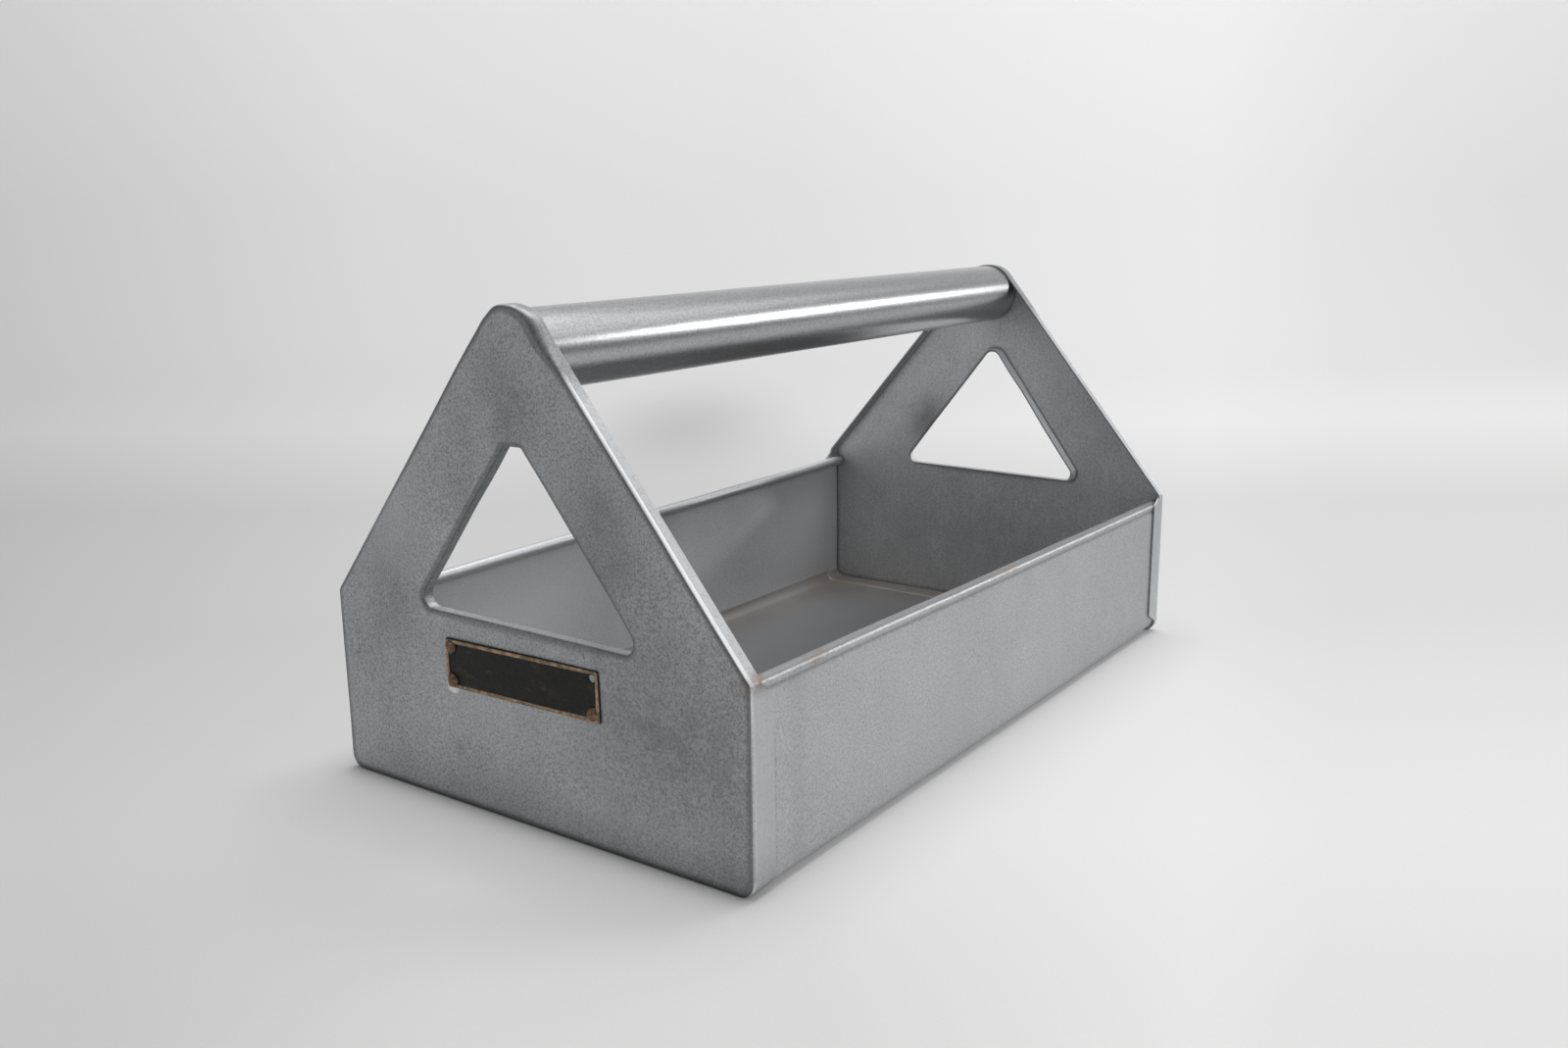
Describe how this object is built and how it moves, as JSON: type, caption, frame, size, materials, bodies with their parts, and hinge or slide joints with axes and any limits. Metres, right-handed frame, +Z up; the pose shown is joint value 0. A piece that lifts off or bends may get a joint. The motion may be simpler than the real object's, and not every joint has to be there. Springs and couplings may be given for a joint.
{
  "type": "open toolbox",
  "caption": "Open sheet metal tool tray with peaked end panels, triangular hand holes and a fixed tube handle along the top.",
  "frame": {"origin": "under the middle of the outer box, on the surface that the toolbox stands on", "axes": "+X along the tray and the handle, away from the end with the label plate; +Y across the tray; +Z up"},
  "size_m": [0.3518, 0.198, 0.1844],
  "materials": {
    "tray_sheet": "worn bare sheet steel, dull, with fine marks along the rolling direction",
    "panel_sheet": "worn bare sheet steel, darker, mottled, with scratches and stains",
    "tube_metal": "bare steel tube, dull, polished a little by the hand",
    "wire_metal": "bare steel wire, hidden in the curled rim",
    "label_brass": "blackened brass, field bare of any lettering",
    "rivet_brass": "tarnished brass"
  },
  "bodies": {
    "root": {"tray": "tray_sheet", "front_end_panel": "panel_sheet", "rear_end_panel": "panel_sheet", "handle_tube": "tube_metal", "left_rim_wire": "wire_metal", "right_rim_wire": "wire_metal", "label_plate": "label_brass", "label_rivets": "rivet_brass"}
  },
  "joints": []
}
